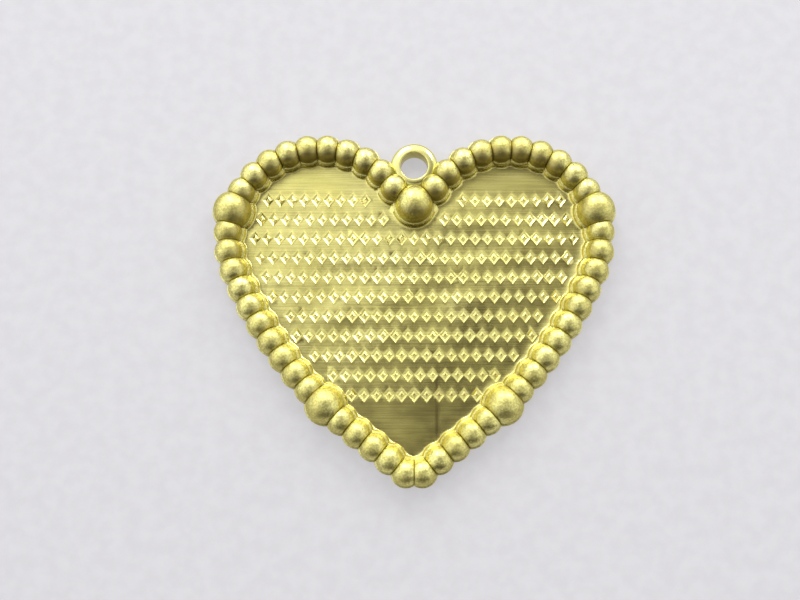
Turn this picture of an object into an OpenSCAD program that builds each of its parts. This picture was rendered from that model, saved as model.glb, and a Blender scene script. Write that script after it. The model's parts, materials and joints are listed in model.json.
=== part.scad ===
// Heart charm in brass: a flat heart with a sunk field, a border of domed beads and a hanging eye.
// It lies on its back in the XY plane, face up, with the point of the heart towards -Y.
// The origin is on the axis of the hanging eye, level with the back. Millimetres.

/* [Heart outline, along the line of bead centres] */
// Radius of the line round each lobe
lobe_r = 6.75; // [6:0.05:7.5]
// From the middle line of the heart to the middle of each lobe
lobe_x = 7.15; // [6.6:0.05:7.8]
// From the eye's axis down to the middles of the lobes
lobe_drop = 5.45; // [5.2:0.05:6]
// Radius of the line down each side
side_r = 31; // [27:0.5:40]
// From the eye's axis down to the point of the heart
tip_drop = 23.4; // [22:0.1:25]
// Slope of the two lower edges
tip_angle = 38.3; // [35:0.1:41]
// Where round each lobe the border starts, beside the cleft
border_start_angle = 146.5; // [144:0.5:149]

/* [Plate] */
// Thickness of the plate under the beads
plate_t = 1; // [0.7:0.05:1.6]
// Depth of the sunk field below the beads' seat
field_depth = 0.3; // [0.15:0.05:0.5]
// Width of the slope round the field
field_slope_w = 0.35; // [0.15:0.05:0.6]
// Flat strip between the beads' feet and the field
ledge_w = 0.06; // [0.02:0.01:0.1]
// How far the field would run in under the feet of the small beads, were there no ground left for them
field_under = 0.2; // [0.1:0.01:0.25]
// Bevel along the edge of the back
back_bevel = 0.1; // [0.05:0.01:0.3]

/* [Beads] */
// Diameter of the small beads
small_bead_d = 2; // [1.8:0.05:2.4]
// Diameter of the five large beads
large_bead_d = 2.8; // [2.5:0.05:3.2]
// Small beads over each lobe, and as many down each side
run_beads = 10; // [9:1:10]
// Small beads between each large lower bead and the point
tip_beads = 5; // [4:1:5]
// From the middle of a large bead to the middle of the small one beside it
large_pitch = 1.63; // [1.5:0.01:1.8]
// From the eye's axis down to the middle of the bead in the cleft
cleft_bead_drop = 3; // [2.9:0.05:3.2]
// Straight wall below each dome
bead_wall_h = 0.3; // [0.2:0.05:0.5]
// How far the rim of a bead's foot stands out
foot_rim_w = 0.13; // [0.06:0.01:0.2]
// Height of the rim of a bead's foot
foot_rim_h = 0.12; // [0.06:0.01:0.2]
// Clearance at the seam between two beads
seam_gap = 0.04; // [0.02:0.01:0.1]

/* [Hanging eye] */
// Diameter of the hole
eye_hole_d = 2.08; // [1.8:0.02:2.2]
// Width of the ring round the hole
eye_wall_w = 0.71; // [0.65:0.01:0.8]
// Thickness of the ring, front to back
eye_t = 1.3; // [1.1:0.05:2.2]
// Radius of the ring's rounded front edge
eye_round_r = 0.45; // [0.2:0.05:0.55]
// Clearance between the ring and what it is let into
eye_gap = 0.03; // [0.02:0.01:0.08]

/* [Hidden] */
$fn = 64;
LOBE_BEADS = [for (i = [1:run_beads]) str("lobe_bead_", i < 10 ? "0" : "", i)];
SIDE_BEADS = [for (i = [1:run_beads]) str("side_bead_", i < 10 ? "0" : "", i)];
TIP_BEADS = [for (i = [1:tip_beads]) str("tip_bead_", i)];
// One side's beads in order from the cleft to the point
BORDER = concat(LOBE_BEADS, ["shoulder_bead"], SIDE_BEADS, ["lower_bead"], TIP_BEADS);
HANDS = ["left_", "right_"];
brass = "#b9ae5c";
// Overrun of the cutting tools
over = 1;
// Turn by which one arc of the field runs on inside the next, so that the two cuts join
joint_turn = 3;

// The bead line: an arc round the lobe, a wide arc down the side that meets it without a corner,
// and a straight edge to the point, which the wide arc meets without a corner too.
lobe_centre = [lobe_x, -lobe_drop];
tip = [0, -tip_drop];
function along(angle) = [cos(angle), sin(angle)];
function arc_length(radius, angle) = PI * radius * angle / 180;
edge_outward = tip_angle - 90;
lobe_to_edge = (tip - lobe_centre) * along(edge_outward);
side_sweep = acos((side_r - lobe_to_edge) / (side_r - lobe_r));
side_start = edge_outward + side_sweep;
side_centre = lobe_centre - (side_r - lobe_r) * along(side_start);
edge_start = side_centre + side_r * along(edge_outward);
lobe_length = arc_length(lobe_r, border_start_angle - side_start);
side_length = arc_length(side_r, side_sweep);
edge_length = norm(tip - edge_start);
border_length = lobe_length + side_length + edge_length;

// The place on the bead line at a distance from its start beside the cleft
function turned(radius, distance) = distance / arc_length(radius, 1);
function on_lobe(s) = lobe_centre + lobe_r * along(border_start_angle - turned(lobe_r, s));
function on_side(s) = side_centre + side_r * along(side_start - turned(side_r, s));
function on_edge(s) = edge_start + (tip - edge_start) * s / edge_length;
function on_border(s) =
    s < lobe_length ? on_lobe(s)
    : s < lobe_length + side_length ? on_side(s - lobe_length)
    : on_edge(s - lobe_length - side_length);

// The small beads share out what the large ones leave, and the last stands half a pitch from the point
pitch = (border_length - 4 * large_pitch) / (2 * (run_beads - 1) + tip_beads - 1 / 2);
shoulder_s = (run_beads - 1) * pitch + large_pitch;
lower_s = shoulder_s + 2 * large_pitch + (run_beads - 1) * pitch;

// A bead is [place, diameter]
function placed(distances, diameter) = [for (s = distances) [on_border(s), diameter]];
function run(first, count) = [for (i = [0:count - 1]) first + i * pitch];
function mirrored(bead) = [[-bead[0][0], bead[0][1]], bead[1]];
cleft = [[0, -cleft_bead_drop], large_bead_d];
right_beads = concat(
    placed(run(0, run_beads), small_bead_d),
    placed([shoulder_s], large_bead_d),
    placed(run(shoulder_s + large_pitch, run_beads), small_bead_d),
    placed([lower_s], large_bead_d),
    placed(run(lower_s + large_pitch, tip_beads), small_bead_d)
);
left_beads = [for (bead = right_beads) mirrored(bead)];
first_bead = right_beads[0];
// The right side from the cleft bead to the first bead past the point
chain = concat([cleft], right_beads, [left_beads[len(left_beads) - 1]]);

// Two domes of different size meet in an upright plane, this far from the first one's middle
function seam_distance(a, b) =
    let (d = norm(b[0] - a[0]))
    (d * d + (a[1] * a[1] - b[1] * b[1]) / 4) / (2 * d);

// The ring keeps its width round any hole
eye_d = eye_hole_d + 2 * eye_wall_w;

// Radius of a bead's foot, and how far the field's edge lies in from the bead line at its top and bottom
function foot_r(diameter) = diameter / 2 + foot_rim_w;
high_inset = foot_r(small_bead_d) - field_under;
low_inset = high_inset + field_slope_w;
field_z = plate_t - field_depth;

// The lobe of the field, with its slope
module field_lobe() {
    turn = border_start_angle - side_start + joint_turn;
    translate([lobe_centre[0], lobe_centre[1], field_z])
        rotate([0, 0, border_start_angle - turn])
            rotate_extrude(angle = turn)
                polygon([[0, 0], [lobe_r - low_inset, 0], [lobe_r - high_inset, field_depth], [0, field_depth]]);
}

// The stretch of the field along the wide arc, from under the cleft bead to the lower edge
module field_side() {
    last_turn = edge_outward - joint_turn;
    corner_r = side_r / cos((side_start - last_turn) / 2) + over;
    low_y = edge_start[1] + edge_start[0] / tan(tip_angle);
    translate([0, 0, field_z]) intersection() {
        translate(side_centre)
            cylinder(h = field_depth, r1 = side_r - low_inset, r2 = side_r - high_inset);
        linear_extrude(field_depth)
            polygon([
                lobe_centre,
                side_centre + corner_r * along(side_start),
                side_centre + corner_r * along(last_turn),
                [-over, low_y],
                [-over, cleft[0][1]],
                first_bead[0]
            ]);
    }
}

// The stretch of the field along the straight lower edge, mitred at the point
module field_edge() {
    reach = edge_start[0] / sin(tip_angle);
    translate([0, 0, field_z]) intersection() {
        translate(tip)
            rotate([90, 0, edge_outward + 180])
                linear_extrude(edge_length)
                    polygon([[low_inset, 0], [reach, 0], [reach, field_depth], [high_inset, field_depth]]);
        translate([0, tip[1]])
            cube([edge_start[0], -tip[1], field_depth]);
    }
}

module both_sides() {
    children();
    mirror([1, 0, 0]) children();
}

// The ground left standing under a bead's foot where the field comes up to it
module bead_ground(bead) {
    translate([bead[0][0], bead[0][1], field_z])
        cylinder(h = field_depth, r = foot_r(bead[1]) + ledge_w);
}

module sunk_field() {
    difference() {
        both_sides() {
            field_lobe();
            field_side();
            field_edge();
        }
        bead_ground(cleft);
        both_sides() for (bead = right_beads) bead_ground(bead);
    }
}

// The plate round one bead's foot, bevelled at the back
module scallop(bead) {
    r = foot_r(bead[1]);
    translate(bead[0]) {
        cylinder(h = back_bevel, r1 = r - back_bevel, r2 = r);
        translate([0, 0, back_bevel]) cylinder(h = plate_t - back_bevel, r = r);
    }
}

// The heart with its field sunk in, scalloped to follow the foot of each bead
module heart_plate() {
    ring = [for (bead = concat([cleft], right_beads)) bead[0]];
    other_half = [for (i = [len(left_beads) - 1:-1:0]) left_beads[i][0]];
    color(brass) difference() {
        union() {
            linear_extrude(plate_t) polygon(concat(ring, other_half));
            scallop(cleft);
            both_sides() for (bead = right_beads) scallop(bead);
        }
        sunk_field();
        translate([0, 0, -over]) cylinder(h = plate_t + 2 * over, r = eye_d / 2 + eye_gap);
    }
}

// A dome on a short straight wall, with a thin rim round its foot
module bead_blank(diameter) {
    rotate_extrude() {
        square([foot_r(diameter), foot_rim_h]);
        square([diameter / 2, bead_wall_h]);
        translate([0, bead_wall_h]) intersection() {
            circle(d = diameter);
            square(diameter / 2);
        }
    }
}

// One bead on its seat, cut off square where it meets its two neighbours
module seated_bead(bead, neighbours) {
    tool = bead[1] + 2 * over;
    color(brass) translate([bead[0][0], bead[0][1], plate_t]) difference() {
        bead_blank(bead[1]);
        for (neighbour = neighbours) {
            step = neighbour[0] - bead[0];
            rotate([0, 0, atan2(step[1], step[0])])
                translate([seam_distance(bead, neighbour) - seam_gap / 2, -tool / 2, -over])
                    cube([tool, tool, tool]);
        }
    }
}

module cleft_bead() {
    seated_bead(cleft, [first_bead, mirrored(first_bead)]);
}

// The bead at one place of the right side, counted from the cleft
module right_bead(i) {
    seated_bead(chain[i + 1], [chain[i], chain[i + 2]]);
}

// Room for a bead beside the ring, above the seat: its foot, then its wall and dome
module bead_room(bead) {
    translate([bead[0][0], bead[0][1], plate_t]) {
        cylinder(h = foot_rim_h + eye_gap, r = foot_r(bead[1]) + eye_gap);
        cylinder(h = eye_t, r = bead[1] / 2 + eye_gap);
    }
}

// The ring that hangs the charm, rounded in front and let in behind the first beads of the border
module hanging_eye() {
    color(brass) difference() {
        rotate_extrude() {
            square([eye_d / 2 - eye_round_r, eye_t]);
            square([eye_d / 2, eye_t - eye_round_r]);
            translate([eye_d / 2 - eye_round_r, eye_t - eye_round_r]) circle(r = eye_round_r);
        }
        translate([0, 0, -over]) cylinder(h = eye_t + 2 * over, d = eye_hole_d);
        bead_room(cleft);
        both_sides() for (bead = right_beads) if (norm(bead[0]) < (eye_d + bead[1]) / 2 + foot_rim_w) bead_room(bead);
    }
}

heart_plate();
hanging_eye();
cleft_bead();
for (i = [0:len(BORDER) - 1]) {
    right_bead(i);
    mirror([1, 0, 0]) right_bead(i);
}
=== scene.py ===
"""The looks of the heart charm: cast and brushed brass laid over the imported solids, on white paper."""

import json
import math
import random

import bmesh
import bpy
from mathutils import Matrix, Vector, geometry, kdtree, noise


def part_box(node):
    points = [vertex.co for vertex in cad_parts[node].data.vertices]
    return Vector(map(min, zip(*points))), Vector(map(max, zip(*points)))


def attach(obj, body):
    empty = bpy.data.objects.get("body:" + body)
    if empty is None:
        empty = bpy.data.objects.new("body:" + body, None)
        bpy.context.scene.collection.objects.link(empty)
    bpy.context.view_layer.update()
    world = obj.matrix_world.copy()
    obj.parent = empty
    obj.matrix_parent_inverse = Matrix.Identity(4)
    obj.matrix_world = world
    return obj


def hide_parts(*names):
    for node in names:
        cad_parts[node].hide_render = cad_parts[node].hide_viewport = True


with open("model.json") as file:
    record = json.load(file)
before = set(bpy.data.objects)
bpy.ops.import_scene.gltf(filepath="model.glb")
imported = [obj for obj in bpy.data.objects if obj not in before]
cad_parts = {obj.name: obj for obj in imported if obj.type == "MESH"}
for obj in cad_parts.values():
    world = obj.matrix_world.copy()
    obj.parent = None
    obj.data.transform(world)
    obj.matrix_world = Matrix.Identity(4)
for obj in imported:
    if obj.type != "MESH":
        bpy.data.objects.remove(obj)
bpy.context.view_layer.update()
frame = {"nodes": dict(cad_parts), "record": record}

# All lengths below are in millimetres and all angles in degrees, where nothing else is said
MM = 0.001
RANDOM_SEED = 11
rng = random.Random(RANDOM_SEED)

# Sizes that the solids share
FIELD_DEPTH = 0.3
FIELD_SLOPE_W = 0.35
LOBE_R = 6.75
SIDE_R = 31
LOBE_X = 7.15
LOBE_DROP = 5.45
TIP_DROP = 23.4
TIP_ANGLE = 38.3
BORDER_START_ANGLE = 146.5
BACK_BEVEL = 0.1
BEAD_WALL_H = 0.3
FOOT_RIM_W = 0.13
FOOT_RIM_H = 0.12
EYE_GAP = 0.03

# Softness that casting and handling give to the edges
EDGE_R = 0.05
FIELD_SOFT = 0.09
SEAM_SOFT = 0.03
# Width left free at the seam between two beads
SEAM_W = 0.01

# How far the slope's upper edge runs in under the beads' feet, 0.14 further than in the solids
FIELD_UNDER = 0.34
# Ledge left round a bead's foot that stands out into the field, and width of the steep slope outside it
LEDGE_W = 0.005
GROUND_SLOPE_W = 0.11

# Slow waves of the field: their height, and how far inside the edge they reach it
FIELD_WAVE = 0.06
WAVE_FULL_IN = 1.6
# For each wave: steps through the noise for each millimetre across and up, layer of the noise, and share
FIELD_WAVES = ((0.23, 0.42, 3.1, 0.7), (0.6, 0.9, 7.7, 0.3))

# Curved rise of the field towards its edge, which gets flatter towards the heart's point
FIELD_RISE = 0.07
FIELD_RISE_W = 0.9
POINT_RISE = 0.02
POINT_RISE_START = -14.0
POINT_RISE_END = -18.5

# Faint upright crease low in the field, and the length over which its ends fade
CREASE_X = 1.75
CREASE_TOP = -15.0
CREASE_END = -20.7
CREASE_FADE = 1
CREASE_W = 0.13
CREASE_DEPTH = 0.006

# Rows of lozenges cut into the field: their places and sizes
ROW_COUNT = 11
ROW_TOP_Y = -2.51
ROW_PITCH = 1.477
MARK_PITCH = 0.92
MARK_HALF_W = 0.38
MARK_HALF_H = 0.5
MARK_CLEAR = 0.12
MARK_UNEVEN = 0.05
# Groove along a lozenge's sides, the lip that it throws up, and the dot in the middle
GROOVE_W = 0.22
GROOVE_DEPTH = 0.045
LIP_W = 0.08
LIP_H = 0.018
DOT_R = 0.05
DOT_SIDES = 6
# Section of a lozenge from the outside in: how far inside its outline, and how deep
MARK_SECTION = ((-LIP_W, 0), (-LIP_W / 3, -LIP_H), (GROOVE_W / 2, GROOVE_DEPTH), (GROOVE_W, 0))
# Size of the room round a lozenge that other points keep out of, against the lozenge itself
MARK_ROOM = 1.25

# How much the metal is darkened in places, from 0 to 1: patina and painted shade in hollows, and painted
# shade alone where said
# Patina and painted shade at the foot of the field's slope, in the lozenges' grooves and along the crease
SLOPE_DARK = 0.4
SLOPE_DARK_W = 0.3
GROOVE_DARK = 0.25
CREASE_DARK = 0.9
# Patina and painted shade round a bead's foot where it stands on the plate, and the height over which it
# fades
FOOT_DARK = 0.15
FOOT_DARK_H = 0.2
# Patina and painted shade along the seams between beads, at the top and, wider, at the foot
SEAM_DARK = 0.4
SEAM_DARK_W = 0.07
SEAM_FOOT_DARK_W = 0.22
# Painted shade on the wall of the eye's hole
HOLE_PAINTED_SHADE = 0.95
# Painted shade on a small and a large bead, on the side that faces the field, as far as that side faces
# towards −Y, and the shares of its radius between which this begins and is full
FIELD_SIDE_SHADE = 0.68
LARGE_FIELD_SIDE_SHADE = 0.5
FIELD_SIDE_SHADE_START = 0.1
FIELD_SIDE_SHADE_END = 0.5


# Soft steps, lines and arcs

def fade(value, low, high):
    """0 below low, 1 above high, and a soft step between them."""
    t = min(1.0, max(0.0, (value - low) / (high - low)))
    return t * t * (3 - 2 * t)


def heading(turn):
    """The direction at a turn in radians."""
    return Vector((math.cos(turn), math.sin(turn)))


def along(degrees):
    """The direction at a turn in degrees."""
    return heading(math.radians(degrees))


def bend(middle, r, start, end, step):
    """Points on an arc between two directions, a step apart in degrees."""
    count = max(2, round(abs(end - start) / step))
    return [middle + r * along(start + (end - start) * i / count) for i in range(count + 1)]


def tree_of(points):
    """A quick way to find the nearest of some points in the plane."""
    tree = kdtree.KDTree(len(points))
    for i, p in enumerate(points):
        tree.insert((p.x, p.y, 0), i)
    tree.balance()
    return tree


# Places and sizes that come from the frame

# How far below its highest point the pole of a dome reaches
POLE_DEPTH = 0.005


class Bead:
    """A bead's middle, seat and dome, read from its solid: the pole of the dome is its highest point."""

    def __init__(self, node):
        low, high = (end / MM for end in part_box(node))
        near_top = high.z - POLE_DEPTH
        pole = [v.co / MM for v in frame["nodes"][node].data.vertices if v.co.z / MM > near_top]
        middle = sum(pole, Vector((0, 0, 0))) / len(pole)
        self.node = node
        self.x, self.y = middle.x, middle.y
        self.seat = low.z
        self.r = high.z - low.z - BEAD_WALL_H
        self.foot_r = self.r + FOOT_RIM_W

    def angle_to(self, other):
        """The direction to another bead, in radians."""
        return math.atan2(other.y - self.y, other.x - self.x)

    def seam_to(self, other):
        """How far from this bead's middle the upright seam with another bead lies."""
        d = math.hypot(other.x - self.x, other.y - self.y)
        return (d * d + self.r ** 2 - other.r ** 2) / (2 * d)


def border(hand):
    """The beads of one side, in order from the cleft to the point."""
    kinds = ("lobe_bead_", "shoulder_bead", "side_bead_", "lower_bead", "tip_bead_")
    return [Bead(n) for kind in kinds for n in sorted(frame["nodes"]) if n.startswith(hand + kind)]


right, left = border("right_"), border("left_")
cleft = Bead("cleft_bead")
beads = [cleft] + right + left[::-1]
small_r = left[0].r
plate_t = cleft.seat
eye_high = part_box("hanging_eye")[1] / MM
eye_r, eye_t = eye_high.y, eye_high.z
eye_hole_r = next(m for m in frame["record"]["mounts"] if m["name"] == "hanging_eye")["dims"]["r_mm"]


# The line through the beads, and the edge of the sunk field that follows it

LOBE_STEP = 1.0
SIDE_STEP = 0.2
EDGE_STEPS = 60

# A place from which the whole of the field's edge can be seen
FIELD_MIDDLE = Vector((0, -14.0))
LOOP_POINTS = 1080
# Search for the edge along one ray: how far it goes back from the last find, its steps, and its halvings
LOOP_BACK = 1
LOOP_STEP = 3 * EDGE_R
LOOP_HALVINGS = 11


def bead_line():
    """The line through the right side's beads: round the lobe, down the side, and straight to the point."""
    outward = TIP_ANGLE - 90
    lobe = Vector((LOBE_X, -LOBE_DROP))
    point = Vector((0, -TIP_DROP))
    to_edge = (point - lobe).dot(along(outward))
    start = outward + math.degrees(math.acos((SIDE_R - to_edge) / (SIDE_R - LOBE_R)))
    side = lobe - (SIDE_R - LOBE_R) * along(start)
    edge_start = side + SIDE_R * along(outward)
    round_lobe = bend(lobe, LOBE_R, BORDER_START_ANGLE, start, LOBE_STEP)
    down_side = bend(side, SIDE_R, start, outward, SIDE_STEP)
    return round_lobe + down_side + [edge_start.lerp(point, i / EDGE_STEPS) for i in range(EDGE_STEPS + 1)]


class FieldEdge:
    """How far a place on the plate lies inside the upper edge of the sunk field."""

    def __init__(self):
        self.tree = tree_of(bead_line())
        self.inset = right[0].foot_r - FIELD_UNDER
        self.grounds = [cleft] + right

    def clearance(self, x, y):
        """The distance inside the edge. The slope round a bead's foot is steep, so the way across it
        counts for more."""
        from_line = self.tree.find((abs(x), y, 0))[2] - self.inset
        from_ground = min(math.hypot(abs(x) - b.x, y - b.y) - b.foot_r for b in self.grounds) - LEDGE_W
        return min(from_line, from_ground * FIELD_SLOPE_W / GROUND_SLOPE_W)

    def loop(self, clearance):
        """The closed line at one clearance, found by halving along rays from the middle of the field."""
        points = []
        near = 0.0
        for i in range(LOOP_POINTS):
            step = heading(2 * math.pi * i / LOOP_POINTS)
            near = max(0.0, near - LOOP_BACK)
            if self.clearance(*(FIELD_MIDDLE + near * step)) < clearance:
                near = 0.0
            far = near
            while self.clearance(*(FIELD_MIDDLE + far * step)) > clearance:
                near, far = far, far + LOOP_STEP
            for _ in range(LOOP_HALVINGS):
                half = (near + far) / 2
                if self.clearance(*(FIELD_MIDDLE + half * step)) > clearance:
                    near = half
                else:
                    far = half
            points.append(FIELD_MIDDLE + near * step)
        return points


field_edge = FieldEdge()
floor_loop = field_edge.loop(FIELD_SLOPE_W)


def inside(x, y):
    """True within the foot of the field's slope, seen from the middle of the field."""
    there = Vector((x, y)) - FIELD_MIDDLE
    i = int(math.atan2(there.y, there.x) / (2 * math.pi) * len(floor_loop)) % len(floor_loop)
    return there.length < (floor_loop[i] - FIELD_MIDDLE).length


# Mesh making

CORNER_STEPS = 4


def in_scene(name, data):
    """A new object of the scene with the given data."""
    made = bpy.data.objects.new(name, data)
    bpy.context.scene.collection.objects.link(made)
    return made


def closed_mesh(name, verts, faces):
    """A mesh of points given in millimetres, with its faces turned outward."""
    mesh = bpy.data.meshes.new(name)
    mesh.from_pydata([Vector(v) * MM for v in verts], [], faces)
    bm = bmesh.new()
    bm.from_mesh(mesh)
    bmesh.ops.recalc_face_normals(bm, faces=bm.faces)
    bm.to_mesh(mesh)
    bm.free()
    return mesh


def piece(name, verts, faces, nodes, material, patina_and_shade, crisp=()):
    """A smooth mesh piece in the row frame that stands for CAD nodes, with how much each point is darkened as
    patina and painted shade.
    The faces named crisp stay flat."""
    mesh = closed_mesh(name, verts, faces)
    mesh.attributes.new("patina_and_shade", "FLOAT", "POINT").data.foreach_set("value", patina_and_shade)
    flat_faces = set(crisp)
    mesh.polygons.foreach_set("use_smooth", [i not in flat_faces for i in range(len(mesh.polygons))])
    mesh.materials.append(material)
    made = in_scene(name, mesh)
    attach(made, "root")
    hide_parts(*nodes)
    return made


def band(first, second, count):
    """Faces between two closed rings of count points each, given where each ring starts."""
    return [(first + i, first + (i + 1) % count, second + (i + 1) % count, second + i) for i in range(count)]


def lathed(profile, around, shape=lambda x, y, z: (x, y, z)):
    """Rings of points about the Z axis for a profile of (radius, height) and the faces between them."""
    verts, faces = [], []
    for r, z in profile:
        for i in range(around):
            turn = 2 * math.pi * i / around
            verts.append(shape(r * math.cos(turn), r * math.sin(turn), z))
    for k in range(len(profile) - 1):
        faces += band(k * around, (k + 1) * around, around)
    return verts, faces


def corner(x, z, from_deg, to_deg, r=EDGE_R, steps=CORNER_STEPS):
    """A rounded corner of a profile, about its own centre."""
    turns = [math.radians(from_deg + (to_deg - from_deg) * i / steps) for i in range(steps + 1)]
    return [(x + r * math.cos(a), z + r * math.sin(a)) for a in turns]


# Beads

# Fineness of a bead's mesh, and where the first ring lies round the pole, in steps of the dome
BEAD_AROUND = 96
DOME_STEPS = 24
FIRST_RING = 0.35
FOOT_STEPS = 6
# Exponent of the dome's section, a little fuller than a circle
FULLNESS = 2.06
# Roundings between wall and foot, and of the foot's rim
ROOT_R = 0.05
RIM_R = 0.075
# Unevenness of a dome: its share of the radius, its fineness, and how far apart in the noise the beads lie
UNEVEN = 0.014
UNEVEN_SCALE = 1.1
UNEVEN_REACH = 50


def bead_profile(bead):
    """From the pole down the dome and the wall, over the rim of the foot, to the seat."""
    turns = [math.pi / 2 * (i + FIRST_RING) / DOME_STEPS for i in range(DOME_STEPS)]
    full = [(math.sin(a), math.cos(a), (math.sin(a) ** FULLNESS + math.cos(a) ** FULLNESS) ** (-1 / FULLNESS))
            for a in turns]
    dome = [(bead.r * x * k, BEAD_WALL_H + bead.r * z * k) for x, z, k in full] + [(bead.r, BEAD_WALL_H)]
    root = corner(bead.r + ROOT_R, FOOT_RIM_H + ROOT_R, 180, 270, ROOT_R, FOOT_STEPS)
    rim = corner(bead.foot_r - RIM_R, FOOT_RIM_H - RIM_R, 90, 0, RIM_R, FOOT_STEPS)
    return dome + root + rim + [(bead.foot_r, 0)]


def seated_bead(bead, before, after, material):
    """A cast dome on its seat. It stops short at the seams with its neighbours, with softened edges."""
    seams = [(bead.angle_to(n), bead.seam_to(n) - SEAM_W / 2) for n in (before, after)]
    to_field = (FIELD_MIDDLE - Vector((bead.x, bead.y))).normalized()
    # Painted shade on the side that faces the field, as far as that side faces towards −Y
    dark = max(0.0, -to_field.y) * (LARGE_FIELD_SIDE_SHADE if bead.r > small_r else FIELD_SIDE_SHADE)
    seed = Vector((rng.random(), rng.random(), rng.random())) * UNEVEN_REACH
    patina_and_shade = []

    def shape(x, y, z):
        bump = 1 + UNEVEN * noise.noise(Vector((x, y, z)) * UNEVEN_SCALE + seed) * fade(z, 0, BEAD_WALL_H)
        x, y = x * bump, y * bump
        z = z if z < BEAD_WALL_H else BEAD_WALL_H + (z - BEAD_WALL_H) * bump
        # Patina and painted shade round the foot
        deep = FOOT_DARK * (1 - fade(z, FOOT_RIM_H, FOOT_RIM_H + FOOT_DARK_H))
        if z > FOOT_RIM_H + ROOT_R:
            toward = (x * to_field.x + y * to_field.y) / bead.r
            deep = max(deep, dark * fade(toward, FIELD_SIDE_SHADE_START, FIELD_SIDE_SHADE_END))
        # Patina and painted shade along each seam, widening towards the foot
        dark_w = SEAM_FOOT_DARK_W + (SEAM_DARK_W - SEAM_FOOT_DARK_W) * fade(z, BEAD_WALL_H, bead.r)
        for turn, distance in seams:
            across = x * math.cos(turn) + y * math.sin(turn)
            deep = max(deep, SEAM_DARK * (1 - fade(distance - across, 0, dark_w)))
            if across > distance - SEAM_SOFT:
                over = across - (distance - SEAM_SOFT)
                held = distance - SEAM_SOFT + SEAM_SOFT * (1 - math.exp(-over / SEAM_SOFT))
                x += (held - across) * math.cos(turn)
                y += (held - across) * math.sin(turn)
        patina_and_shade.append(deep)
        return bead.x + x, bead.y + y, bead.seat + z

    profile = bead_profile(bead)
    verts, faces = lathed(profile, BEAD_AROUND, shape)
    last = (len(profile) - 1) * BEAD_AROUND
    faces.append(tuple(range(BEAD_AROUND)))
    faces.append(tuple(range(last, last + BEAD_AROUND)))
    return piece(bead.node + "_cast", verts, faces, [bead.node], material, patina_and_shade)


# Plate outline

ARC_STEP = 0.07


def meeting(a, ra, b, rb):
    """Where two circles cross, to the left of the way from a to b."""
    d = (b - a).length
    ahead = (d * d + ra * ra - rb * rb) / (2 * d)
    off = math.sqrt(max(0.0, ra * ra - ahead * ahead))
    u = (b - a) / d
    return a + ahead * u + off * Vector((-u.y, u.x))


def arc(middle, r, start, end, turn_sign):
    """Points on a circle from start up to, but not at, end."""
    a0 = math.atan2(start.y - middle.y, start.x - middle.x)
    a1 = math.atan2(end.y - middle.y, end.x - middle.x)
    sweep = turn_sign * ((turn_sign * (a1 - a0)) % (2 * math.pi))
    count = max(2, round(abs(sweep) * r / ARC_STEP))
    return [middle + r * heading(a0 + sweep * i / count) for i in range(count)]


def plate_outline():
    """The scalloped outline, clockwise from the right of the eye's notch, round the feet of the beads."""
    notch, notch_r = Vector((0, 0)), eye_r + EYE_GAP
    walk = right[1:] + left[:0:-1]
    places = [Vector((b.x, b.y)) for b in walk]
    radii = [b.foot_r for b in walk]
    stops = [meeting(notch, notch_r, places[0], radii[0])]
    for a, ra, b, rb in zip(places, radii, places[1:], radii[1:]):
        stops.append(meeting(a, ra, b, rb))
    stops.append(meeting(places[-1], radii[-1], notch, notch_r))
    outline = []
    for place, r, start, end in zip(places, radii, stops, stops[1:]):
        outline += arc(place, r, start, end, -1)
    return outline + arc(notch, notch_r, stops[-1], stops[0], 1)


def moved_in(outline, distance):
    """The outline moved in along the bisector at each point."""
    moved = []
    for before, p, after in zip(outline[-1:] + outline, outline, outline[1:] + outline[:1]):
        course = (after - before).normalized()
        moved.append(p + distance * Vector((course.y, -course.x)))
    return moved


# Upper face of the plate

FIELD_GRID = 0.28
GRID_CLEAR = 4 * FIELD_SOFT
# Clearances of the loops of points that carry the slope's section
SLOPE_LOOPS = (
    -FIELD_SOFT, -FIELD_SOFT / 2, 0, FIELD_SOFT, FIELD_SLOPE_W / 2, FIELD_SLOPE_W - FIELD_SOFT,
    FIELD_SLOPE_W, FIELD_SLOPE_W + FIELD_SOFT, FIELD_SLOPE_W + 2.5 * FIELD_SOFT,
)
# Points across the crease, in widths from its middle
CREASE_POINTS = (-2, -1, -0.5, 0, 0.5, 1, 2)
# Joining the points up: only inside the outline, and points closer together than this become one
INSIDE_ONLY = 1
MERGE_R = 0.0005


def field_height(x, y):
    """Height of the plate's upper face: the ledge, the slope and the field, which waves a little."""
    clear = field_edge.clearance(x, y)
    down = fade(clear, -FIELD_SOFT / 2, FIELD_SLOPE_W + FIELD_SOFT / 2)
    wave = sum(noise.noise(Vector((x * across, y * up, layer))) * share
               for across, up, layer, share in FIELD_WAVES)
    rise = POINT_RISE + (FIELD_RISE - POINT_RISE) * fade(y, POINT_RISE_END, POINT_RISE_START)
    rise *= 1 - fade(clear, 0, FIELD_RISE_W)
    ends = fade(y, CREASE_END, CREASE_END + CREASE_FADE) * (1 - fade(y, CREASE_TOP - CREASE_FADE, CREASE_TOP))
    crease = CREASE_DEPTH * ends * math.exp(-((x - CREASE_X) / CREASE_W) ** 2)
    waved = FIELD_WAVE * wave * fade(clear, FIELD_SLOPE_W, WAVE_FULL_IN)
    return plate_t - (FIELD_DEPTH - rise) * down + waved - crease


def field_patina_and_shade(x, y, depth):
    """How much a point of the upper face is darkened, as patina and painted shade: at the foot of the slope,
    in a groove or on the crease.
    """
    clear = field_edge.clearance(x, y)
    foot = fade(clear, 0, FIELD_SLOPE_W) * (1 - fade(clear, FIELD_SLOPE_W, FIELD_SLOPE_W + SLOPE_DARK_W))
    creased = CREASE_TOP > y > CREASE_END and abs(x - CREASE_X) < CREASE_W
    return max(SLOPE_DARK * foot, GROOVE_DARK if depth > 0 else 0.0, CREASE_DARK if creased else 0.0)


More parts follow.
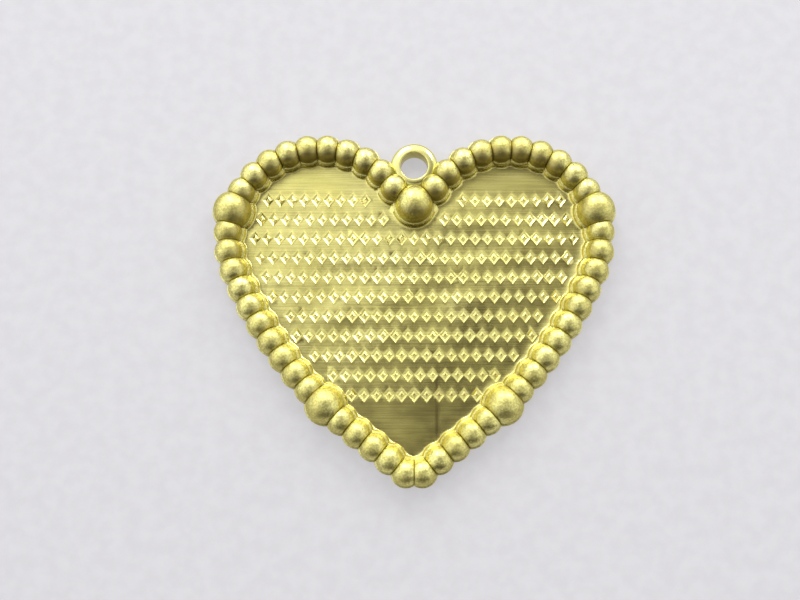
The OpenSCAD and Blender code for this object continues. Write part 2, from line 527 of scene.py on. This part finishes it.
def mark_places():
    """Middles of the lozenges: rows that run to the field's edge, every other row shifted by half a pitch."""
    places = []
    count = int(right[len(right) // 2].x / MARK_PITCH) + 1
    for row in range(ROW_COUNT):
        y = ROW_TOP_Y - row * ROW_PITCH
        first = MARK_PITCH / 2 * (row % 2)
        for k in range(-count, count + 1):
            x = first + k * MARK_PITCH
            ends = ((x - MARK_HALF_W, y), (x + MARK_HALF_W, y), (x, y + MARK_HALF_H), (x, y - MARK_HALF_H))
            if inside(x, y) and min(field_edge.clearance(*end) for end in ends) > FIELD_SLOPE_W + MARK_CLEAR:
                places.append(Vector((x, y)))
    return places


class Marks:
    """The lozenges: the places of their middles, and which points lie on one."""

    def __init__(self):
        self.places = mark_places()
        self.tree = tree_of(self.places)

    def cover(self, p):
        """True on a lozenge, or so close to it that a point there would bend its groove."""
        near = self.places[self.tree.find((p.x, p.y, 0))[1]]
        return abs(p.x - near.x) / MARK_HALF_W + abs(p.y - near.y) / MARK_HALF_H < MARK_ROOM


def lozenge(place, inset, size):
    """The four corners of a lozenge whose sides lie a distance inside the outermost ones."""
    slant = math.hypot(MARK_HALF_W, MARK_HALF_H)
    share = size - inset * slant / (MARK_HALF_W * MARK_HALF_H)
    w, h = MARK_HALF_W * share, MARK_HALF_H * share
    return [place + Vector(step) for step in ((w, 0), (0, h), (-w, 0), (0, -h))]


def add_marks(places, flat, edges):
    """Adds the points and edges of every lozenge, and tells how deep these points lie."""
    sunk = {}
    for place in places:
        size = 1 + MARK_UNEVEN * rng.uniform(-1, 1)
        for inset, depth in MARK_SECTION:
            first = len(flat)
            flat += lozenge(place, inset, size)
            edges += [(first + i, first + (i + 1) % 4) for i in range(4)]
            sunk.update({first + i: depth for i in range(4)})
        sunk[len(flat)] = GROOVE_DEPTH
        flat.append(place)
        flat += [place + DOT_R * heading(2 * math.pi / DOT_SIDES * i) for i in range(DOT_SIDES)]
    return sunk


def field_points(marks):
    """Points that carry the field's slope, its waves and its crease, clear of the lozenges."""
    found = [p for clearance in SLOPE_LOOPS for p in field_edge.loop(clearance)]
    low_y = right[-1].y
    across = int(max(b.x for b in right) / FIELD_GRID)
    up = int((max(b.y for b in right) - low_y) / FIELD_GRID)
    for i in range(-across, across + 1):
        for j in range(up):
            p = Vector((i * FIELD_GRID, low_y + j * FIELD_GRID))
            if field_edge.clearance(*p) > FIELD_SLOPE_W + GRID_CLEAR and inside(*p):
                found.append(p)
    for j in range(int((CREASE_TOP - CREASE_END) / CREASE_W)):
        found += [Vector((CREASE_X + k * CREASE_W, CREASE_END + j * CREASE_W)) for k in CREASE_POINTS]
    return [p for p in found if not marks.cover(p)]


# Whole plate

def plate_rings(outline):
    """Rings of points for the bevelled back and the scalloped edge with its soft corner, and their faces."""
    levels = [(BACK_BEVEL, 0), (0, BACK_BEVEL)]
    levels += [(EDGE_R - x, z) for x, z in corner(0, plate_t - EDGE_R, 0, 90)]
    verts = [(p.x, p.y, z) for inset, z in levels for p in moved_in(outline, inset)]
    count = len(outline)
    faces = [tuple(range(count))]
    for k in range(len(levels) - 1):
        faces += band(k * count, (k + 1) * count, count)
    return verts, faces


def heart_plate(material):
    """One closed mesh: the back, the scalloped edge, and the upper face with the field and its lozenges."""
    outline = plate_outline()
    count = len(outline)
    verts, faces = plate_rings(outline)
    patina_and_shade = [0.0] * len(verts)
    rim = len(verts) - count
    flat = [Vector(v[:2]) for v in verts[rim:]]
    edges = [(i, (i + 1) % count) for i in range(count)]
    marks = Marks()
    sunk = add_marks(marks.places, flat, edges)
    flat += field_points(marks)
    points, _, triangles, sources, _, _ = geometry.delaunay_2d_cdt(flat, edges, [], INSIDE_ONLY, MERGE_R)

    place, cut_points = {}, set()
    for i, (p, source) in enumerate(zip(points, sources)):
        on_rim = [s for s in source if s < count]
        if on_rim:
            place[i] = rim + on_rim[0]
            continue
        depth = max((sunk.get(s, 0) for s in source), key=abs, default=0)
        if depth > 0:
            cut_points.add(i)
        place[i] = len(verts)
        verts.append((p.x, p.y, field_height(p.x, p.y) - depth))
        patina_and_shade.append(field_patina_and_shade(p.x, p.y, depth))
    first_upper = len(faces)
    faces += [tuple(place[i] for i in t) for t in triangles]
    crisp = [first_upper + k for k, t in enumerate(triangles) if cut_points.intersection(t)]
    return piece("heart_plate_cast", verts, faces, ["heart_plate"], material, patina_and_shade, crisp)


# Hanging eye

EYE_AROUND = 128
# How much fuller than the solid the ring is, how far its face falls to the side, and the face's exponent
EYE_FULL = 0.05
EYE_FALL = 0.45
FACE_POWER = 2.3
FACE_STEPS = 14
# The first rings of the profile, which make the wall of the hole
HOLE_RINGS = CORNER_STEPS + 2
# Points around the rooms that are cut out of the ring for the beads beside it
ROOM_AROUND = 96


def cut_away(target, verts, faces):
    """Takes a closed shape out of a piece."""
    cutter = in_scene("cutter", closed_mesh("cutter", verts, faces))
    cut = target.modifiers.new("Bead room", "BOOLEAN")
    cut.operation, cut.solver, cut.object = "DIFFERENCE", "EXACT", cutter
    bpy.context.view_layer.update()
    done = bpy.data.meshes.new_from_object(target.evaluated_get(bpy.context.evaluated_depsgraph_get()))
    target.modifiers.clear()
    target.data = done
    bpy.data.objects.remove(cutter)


def hanging_eye(material):
    """A turned ring with a broad soft front, cut back where the beads beside it stand."""
    turns = [math.pi / 2 * i / FACE_STEPS for i in range(FACE_STEPS + 1)]
    wide = eye_r + EYE_FULL - eye_hole_r - 2 * EDGE_R
    face = [(eye_r + EYE_FULL - wide + wide * math.sin(a) ** (2 / FACE_POWER),
             eye_t - EYE_FALL + EYE_FALL * math.cos(a) ** (2 / FACE_POWER)) for a in turns]
    profile = corner(eye_hole_r + EDGE_R, EDGE_R, 270, 180)
    profile += corner(eye_hole_r + EDGE_R, eye_t - EDGE_R, 180, 90)
    profile += face + corner(eye_r - EDGE_R, EDGE_R, 0, -90)
    verts, faces = lathed(profile, EYE_AROUND)
    faces += band((len(profile) - 1) * EYE_AROUND, 0, EYE_AROUND)
    # The wall of the hole is darkened as painted shade
    patina_and_shade = [HOLE_PAINTED_SHADE if i < HOLE_RINGS * EYE_AROUND else 0.0 for i in range(len(verts))]
    ring = piece("hanging_eye_turned", verts, faces, ["hanging_eye"], material, patina_and_shade)
    for bead in beads:
        if math.hypot(bead.x, bead.y) >= eye_r + bead.foot_r:
            continue
        for r, top in ((bead.foot_r, FOOT_RIM_H), (bead.r, eye_t)):
            profile = [(r + EYE_GAP, 0), (r + EYE_GAP, top + EYE_GAP)]
            verts, faces = lathed(profile, ROOM_AROUND,
                                  lambda x, y, z: (bead.x + x, bead.y + y, bead.seat + z))
            faces += [tuple(range(ROOM_AROUND)), tuple(range(ROOM_AROUND, 2 * ROOM_AROUND))]
            cut_away(ring, verts, faces)
    return ring


# Shader node helpers

def add(tree, kind, inputs=(), **settings):
    """Adds a shader node with its settings and its inputs, each a value or another node's output."""
    made = tree.nodes.new(kind)
    for name, value in settings.items():
        setattr(made, name, value)
    for key, value in dict(inputs).items():
        if isinstance(value, bpy.types.NodeSocket):
            tree.links.new(value, made.inputs[key])
        else:
            made.inputs[key].default_value = value
    return made


def new_group(name, inputs, outputs):
    """An empty node group with float inputs and their defaults, and float outputs."""
    group = bpy.data.node_groups.new(name, "ShaderNodeTree")
    for label, default in inputs.items():
        socket = group.interface.new_socket(name=label, in_out="INPUT", socket_type="NodeSocketFloat")
        socket.default_value = default
    for label in outputs:
        group.interface.new_socket(name=label, in_out="OUTPUT", socket_type="NodeSocketFloat")
    return group, group.nodes.new("NodeGroupInput").outputs, group.nodes.new("NodeGroupOutput").inputs


def millimetres(tree):
    """The place on the object in millimetres."""
    place = add(tree, "ShaderNodeTexCoord").outputs["Object"]
    scale = (1 / MM, 1 / MM, 1 / MM)
    return add(tree, "ShaderNodeVectorMath", {0: place, 1: scale}, operation="MULTIPLY").outputs[0]


def per_size(tree, place, size):
    """A place divided by a size, so that one unit is one feature."""
    inverse = add(tree, "ShaderNodeMath", {0: 1.0, 1: size}, operation="DIVIDE").outputs[0]
    return add(tree, "ShaderNodeVectorMath", {0: place, "Scale": inverse}, operation="SCALE").outputs[0]


def spread(tree, value, low, high, to_low=0.0, to_high=1.0):
    """A value spread from one range to another, held at the ends, with a soft step."""
    keys = {"Value": value, "From Min": low, "From Max": high, "To Min": to_low, "To Max": to_high}
    return add(tree, "ShaderNodeMapRange", keys, interpolation_type="SMOOTHSTEP").outputs["Result"]


def math_node(tree, operation, a, b):
    """One step of arithmetic on two values, each a number or a socket."""
    return add(tree, "ShaderNodeMath", {0: a, 1: b}, operation=operation).outputs[0]


def blend_colour(tree, share, a, b):
    """A mix of two colours, each a colour or a socket. 6 and 7 are the node's sockets for colours."""
    return add(tree, "ShaderNodeMix", {0: share, 6: a, 7: b}, data_type="RGBA").outputs[2]


def smooth_noise(tree, place, detail, roughness):
    """Smooth noise at a place, with features about one unit wide."""
    keys = {"Vector": place, "Scale": 1.0, "Detail": detail, "Roughness": roughness}
    return add(tree, "ShaderNodeTexNoise", keys).outputs[0]


# Grain, brush lines, and tarnish with patina and painted shade, each a node group

# Two sets of brush lines: label, width against the finest lines, and detail of the noise
BRUSH_SETS = (("Lines", 1.0, 4.0), ("Streaks", 7.0, 2.0))
# Levels of the noise between which a patch of tarnish begins and is full
PATCH_RANGE = (0.35, 0.65)
# The darkening of patina and painted shade: its share that comes and goes with the patches, and the share
# that is always there
DARK_BROKEN = 0.35
DARK_STEADY = 0.65


def cast_grain_group():
    """The fine skin of a casting: a speckled grain, and scattered pits."""
    sizes = {"Grain Size": 0.1, "Pit Size": 0.45, "Pit Share": 0.2}
    group, given, result = new_group("Cast grain", sizes, ("Grain", "Pits"))
    place = millimetres(group)
    fine = smooth_noise(group, per_size(group, place, given["Grain Size"]), detail=3.0, roughness=0.6)
    pit_place = per_size(group, place, given["Pit Size"])
    cells = add(group, "ShaderNodeTexVoronoi", {"Vector": pit_place, "Scale": 1.0})
    group.links.new(fine, result["Grain"])
    pits = spread(group, cells.outputs["Distance"], given["Pit Share"], 0.0)
    group.links.new(pits, result["Pits"])
    return group


def brush_group():
    """Fine straight lines left by a brush drawn from side to side."""
    sizes = {"Line Width": 0.12, "Line Length": 7.0}
    group, given, result = new_group("Brush lines", sizes, [label for label, _, _ in BRUSH_SETS])
    place = add(group, "ShaderNodeSeparateXYZ", {0: millimetres(group)}).outputs
    for label, width_share, detail in BRUSH_SETS:
        line_w = math_node(group, "MULTIPLY", given["Line Width"], width_share)
        across = math_node(group, "DIVIDE", place[1], line_w)
        lengthwise = math_node(group, "DIVIDE", place[0], given["Line Length"])
        spot = add(group, "ShaderNodeCombineXYZ", {0: lengthwise, 1: across, 2: width_share}).outputs[0]
        group.links.new(smooth_noise(group, spot, detail, roughness=0.65), result[label])
    return group


def tarnish_and_shade_group():
    """Soft uneven patches of dull metal, and a darkening by the mask, as patina and painted shade, broken up
    by the patches.
    """
    sizes = {"Patch Size": 3.0, "Patina And Shade": 0.0, "Patina And Shade Strength": 1.0}
    group, given, result = new_group("Tarnish and painted shade", sizes, ("Patches", "Dark"))
    place = per_size(group, millimetres(group), given["Patch Size"])
    cloud = smooth_noise(group, place, detail=3.0, roughness=0.55)
    patches = spread(group, cloud, *PATCH_RANGE)
    group.links.new(patches, result["Patches"])
    shares = {0: patches, 1: DARK_BROKEN, 2: DARK_STEADY}
    broken = add(group, "ShaderNodeMath", shares, operation="MULTIPLY_ADD").outputs[0]
    deep = math_node(group, "MULTIPLY", given["Patina And Shade"], given["Patina And Shade Strength"])
    group.links.new(math_node(group, "MULTIPLY", broken, deep), result["Dark"])
    return group


# Brass

CAST_GRAIN, BRUSH_LINES, TARNISH_AND_SHADE = cast_grain_group(), brush_group(), tarnish_and_shade_group()

BRIGHT_BRASS = (0.82, 0.775, 0.29, 1)
BRUSHED_BRASS = (0.73, 0.67, 0.235, 1)
SPECK_BRASS = (0.36, 0.31, 0.10, 1)
EDGE_TINT = (0.95, 0.92, 0.74, 1)
OLIVE_BRASS = (0.66, 0.60, 0.19, 1)
# Dark brown for patina and painted shade, and for the brush lines
DARK_BRASS = (0.21, 0.14, 0.06, 1)

# Levels of the noise between which specks, streaks and lines begin and are full,
# and how strong a full streak and a full line are
SPECK_RANGE = (0.4, 0.6)
STREAK_RANGE = (0.4, 0.62)
STREAK_SHARE = 0.4
LINE_RANGE = (0.35, 0.6)
LINE_SHARE = 0.26
# Depth of a pit against the height of the grain
PIT_SHARE_OF_GRAIN = 2
# The bump's heights are given in thousandths of a millimetre
MICROMETRE = MM / 1000


def brass(name, bright, roughness, grain_size, grain_um, pit_share, patina_and_shade_strength,
          brush_um=0.0, roughness_swing=0.1, speckle=0.0):
    """Raw brass: the colour of its patches, its patina and painted shade, a cast grain and, where brushed,
    fine lines.
    """
    material = bpy.data.materials.new(name)
    material.use_nodes = True
    tree = material.node_tree
    shader = tree.nodes["Principled BSDF"]
    shader.inputs["Metallic"].default_value = 1.0
    shader.inputs["Specular Tint"].default_value = EDGE_TINT
    patina_and_shade = add(tree, "ShaderNodeAttribute", attribute_name="patina_and_shade").outputs["Fac"]
    grain_skin = add(tree, "ShaderNodeGroup", node_tree=CAST_GRAIN)
    grain_skin.inputs["Grain Size"].default_value = grain_size
    grain_skin.inputs["Pit Share"].default_value = pit_share
    tarnish_and_shade = add(tree, "ShaderNodeGroup", node_tree=TARNISH_AND_SHADE)
    tree.links.new(patina_and_shade, tarnish_and_shade.inputs["Patina And Shade"])
    tarnish_and_shade.inputs["Patina And Shade Strength"].default_value = patina_and_shade_strength

    metal = blend_colour(tree, tarnish_and_shade.outputs["Patches"], bright, OLIVE_BRASS)
    # Patina and painted shade: darker towards dark brass where the mask says
    metal = blend_colour(tree, tarnish_and_shade.outputs["Dark"], metal, DARK_BRASS)
    if speckle:
        speck = spread(tree, grain_skin.outputs["Grain"], *SPECK_RANGE, speckle, 0.0)
        metal = blend_colour(tree, speck, metal, SPECK_BRASS)
    rough = spread(tree, tarnish_and_shade.outputs["Patches"], 0.0, 1.0, roughness, roughness + roughness_swing)
    height = math_node(tree, "MULTIPLY", grain_skin.outputs["Grain"], grain_um)
    pits = math_node(tree, "MULTIPLY", grain_skin.outputs["Pits"], grain_um * PIT_SHARE_OF_GRAIN)
    height = math_node(tree, "SUBTRACT", height, pits)
    if brush_um:
        brush = add(tree, "ShaderNodeGroup", node_tree=BRUSH_LINES)
        lines = math_node(tree, "MULTIPLY", brush.outputs["Lines"], brush_um)
        height = math_node(tree, "ADD", height, lines)
        streak = spread(tree, brush.outputs["Streaks"], *STREAK_RANGE, 0.0, STREAK_SHARE)
        metal = blend_colour(tree, streak, metal, OLIVE_BRASS)
        line = spread(tree, brush.outputs["Lines"], *LINE_RANGE, LINE_SHARE, 0.0)
        metal = blend_colour(tree, line, metal, DARK_BRASS)
    tree.links.new(metal, shader.inputs["Base Color"])
    tree.links.new(rough, shader.inputs["Roughness"])
    bump = add(tree, "ShaderNodeBump", {"Height": height, "Distance": MICROMETRE, "Strength": 1.0})
    tree.links.new(bump.outputs[0], shader.inputs["Normal"])
    return material


satin = brass("Satin cast brass", BRIGHT_BRASS, roughness=0.34, grain_size=0.16, grain_um=19, pit_share=0.12,
              patina_and_shade_strength=0.95, speckle=0.6)
brushed = brass("Brushed brass", BRUSHED_BRASS, roughness=0.17, grain_size=0.12, grain_um=1.5, pit_share=0.05,
                patina_and_shade_strength=0.6, brush_um=4.5, roughness_swing=0.06)
polished = brass("Rubbed brass", BRIGHT_BRASS, roughness=0.13, grain_size=0.15, grain_um=3, pit_share=0.08,
                 patina_and_shade_strength=0.6, roughness_swing=0.06)


# Build

heart_plate(brushed)
hanging_eye(polished)
for before, bead, after in zip(beads[-1:] + beads, beads, beads[1:] + beads[:1]):
    seated_bead(bead, before, after, satin)


# Paper under the charm

PAPER_SIZE = 4000
# How far the paper lies below the charm's back
PAPER_DROP = 0.01
# Darkest and lightest tint of the fibres, and the levels of the noise where they lie
PAPER_TINTS = ((0.705, 0.692, 0.717, 1), (0.742, 0.73, 0.755, 1))
FIBRE_RANGE = (0.3, 0.7)
FIBRE_H = 0.03
# Share of the paper's look that the shadows leave alone, and how much darker the rest is made to balance it
PAPER_FLAT_SHARE = 0.62
PAPER_SHADED_TINT = 0.81
# Painted light: the level of the flat share at the lower and upper end of the picture, brighter at the upper
# end, and where on the paper these ends lie
PAPER_PAINTED_LIGHT_LEVELS = (0.98, 1.02)
PAPER_PAINTED_LIGHT_Y = (-35, 12)


def paper():
    """White paper with a faint fibre. Seen straight or in the brass, part of its white is left flat, and that
    part is painted light, a little brighter towards +Y.
    """
    material = bpy.data.materials.new("White paper")
    material.use_nodes = True
    tree = material.node_tree
    shader = tree.nodes["Principled BSDF"]
    shader.inputs["Roughness"].default_value = 0.9
    shader.inputs["Specular IOR Level"].default_value = 0.1
    place = millimetres(tree)
    fibre = add(tree, "ShaderNodeTexNoise", {"Vector": place, "Scale": 0.9, "Detail": 5.0}).outputs[0]
    tint = blend_colour(tree, spread(tree, fibre, *FIBRE_RANGE), *PAPER_TINTS)
    darker = {0: tint, "Scale": PAPER_SHADED_TINT}
    shaded = add(tree, "ShaderNodeVectorMath", darker, operation="SCALE").outputs[0]
    tree.links.new(shaded, shader.inputs["Base Color"])
    up_the_picture = add(tree, "ShaderNodeSeparateXYZ", {0: place}).outputs[1]
    # Painted light: the flat share grows a little brighter towards +Y
    level = spread(tree, up_the_picture, *PAPER_PAINTED_LIGHT_Y, *PAPER_PAINTED_LIGHT_LEVELS)
    flat = add(tree, "ShaderNodeEmission", {"Color": tint, "Strength": level})
    ray = add(tree, "ShaderNodeLightPath").outputs
    seen = math_node(tree, "MAXIMUM", ray["Is Camera Ray"], ray["Is Glossy Ray"])
    seen = math_node(tree, "MAXIMUM", seen, ray["Is Transmission Ray"])
    share = math_node(tree, "MULTIPLY", seen, PAPER_FLAT_SHARE)
    mixed = add(tree, "ShaderNodeMixShader", {0: share, 1: shader.outputs[0], 2: flat.outputs[0]})
    tree.links.new(mixed.outputs[0], tree.nodes["Material Output"].inputs["Surface"])
    bump = add(tree, "ShaderNodeBump", {"Height": fibre, "Distance": MM * FIBRE_H, "Strength": 0.5})
    tree.links.new(bump.outputs[0], shader.inputs["Normal"])
    return material


def paper_sheet():
    """A square sheet, just under the charm."""
    half = PAPER_SIZE / 2 * MM
    mesh = bpy.data.meshes.new("paper")
    corners = [(-half, -half, 0), (half, -half, 0), (half, half, 0), (-half, half, 0)]
    mesh.from_pydata(corners, [], [(0, 1, 2, 3)])
    mesh.materials.append(paper())
    card = in_scene("paper", mesh)
    card.location = Vector((0, 0, -PAPER_DROP)) * MM


paper_sheet()


# A window behind the charm

# Its two panes: their middles, their size, the point that they face, and their power in watts
WINDOW_PANES = (("window_left_pane", (-48, 136, 112)), ("window_right_pane", (92, 136, 112)))
PANE_W = 50
PANE_H = 105
PANE_AIM = (0, -12, 0)
PANE_POWER = 0.12

for pane, place in WINDOW_PANES:
    lamp = bpy.data.lights.new(pane, "AREA")
    lamp.shape = "RECTANGLE"
    lamp.size = PANE_W * MM
    lamp.size_y = PANE_H * MM
    lamp.energy = PANE_POWER
    made = in_scene(pane, lamp)
    made.location = Vector(place) * MM
    made.rotation_euler = (Vector(PANE_AIM) - Vector(place)).to_track_quat("-Z", "Y").to_euler()


# A bright room that is dark overhead and on the photographer's side

ROOM_LEVEL = 0.95
# Soft round patches: the way to the middle, the angles where one starts to fade and ends, and what it adds
ROOM_PATCHES = (
    ((-0.5, 0.3, 0.82), 8, 42, 0.65),
    ((0, 0.86, 0.5), 22, 43, 1.2),
    ((0.92, 0.1, 0.4), 12, 45, 0.4),
    ((-0.92, 0.1, 0.4), 12, 45, 0.55),
)
# The same for shades, with the share that they take away
ROOM_SHADES = (
    ((0, 0, 1), 25, 50, 0.18),
    ((0.035, 0.02, 1), 5, 15, 0.72),
    ((0.14, 0.16, 1), 3, 12, 0.3),
    ((0.27, 0.04, 1), 4, 17, 0.25),
    ((0.3, 0.42, 0.86), 3, 20, 0.4),
    ((0.08, -0.95, 0.3), 32, 42, 0.55),
    ((0.04, -0.72, 0.69), 22, 36, 0.5),
    ((0.1, 0.05, 1), 3, 10, 0.2),
    ((0.1, -0.96, -0.26), 58, 66, 0.7),
)
ROOM_SHADE_COLOUR = (1.0, 0.88, 0.74, 1)
ROOM_LIGHT_COLOUR = (0.97, 0.98, 1.0, 1)
# Level from which the room has its light colour
ROOM_LIGHT_FROM = 0.8


def sky_patch(tree, direction, toward, inner, outer):
    """A soft round patch of the room: 1 within the inner angle of its middle, 0 beyond the outer one."""
    aim = Vector(toward).normalized()
    dot = add(tree, "ShaderNodeVectorMath", {0: direction, 1: aim}, operation="DOT_PRODUCT").outputs["Value"]
    return spread(tree, dot, math.cos(math.radians(outer)), math.cos(math.radians(inner)))


def room():
    """The light that comes from the room on all sides."""
    world = bpy.data.worlds.new("Room")
    world.use_nodes = True
    tree = world.node_tree
    direction = add(tree, "ShaderNodeTexCoord").outputs["Generated"]
    level = ROOM_LEVEL
    for toward, inner, outer, gain in ROOM_PATCHES:
        patch = sky_patch(tree, direction, toward, inner, outer)
        level = math_node(tree, "ADD", level, math_node(tree, "MULTIPLY", patch, gain))
    for toward, inner, outer, share in ROOM_SHADES:
        patch = sky_patch(tree, direction, toward, inner, outer)
        kept = math_node(tree, "SUBTRACT", 1.0, math_node(tree, "MULTIPLY", patch, share))
        level = math_node(tree, "MULTIPLY", level, kept)
    background = tree.nodes["Background"]
    lit = spread(tree, level, 0.0, ROOM_LIGHT_FROM)
    tint = blend_colour(tree, lit, ROOM_SHADE_COLOUR, ROOM_LIGHT_COLOUR)
    tree.links.new(tint, background.inputs["Color"])
    tree.links.new(level, background.inputs["Strength"])
    return world


bpy.context.scene.world = room()


# Camera, at the photograph's angle: focal length and principal point in pixels of the 800 by 600 frame

CAMERA_PLACE = (0.0, -22.6, 66.74)
CAMERA_TILT = 7.47
IMAGE_W, IMAGE_H = 800, 600
FOCAL_PX = 900
PRINCIPAL_PX = (414.16, 350)
SENSOR_W = 36
# Nearest and furthest that the camera sees, in metres
CLIP_NEAR = 1 * MM
CLIP_FAR = 5

camera_data = bpy.data.cameras.new("camera")
camera_data.sensor_width = SENSOR_W
camera_data.lens = FOCAL_PX / IMAGE_W * SENSOR_W
camera_data.shift_x = (IMAGE_W / 2 - PRINCIPAL_PX[0]) / IMAGE_W
camera_data.shift_y = (PRINCIPAL_PX[1] - IMAGE_H / 2) / IMAGE_W
camera_data.clip_start = CLIP_NEAR
camera_data.clip_end = CLIP_FAR
camera = in_scene("camera", camera_data)
camera.location = Vector(CAMERA_PLACE) * MM
camera.rotation_euler = (math.radians(CAMERA_TILT), 0, 0)
bpy.context.scene.camera = camera

bpy.context.scene.view_settings.view_transform = "Standard"
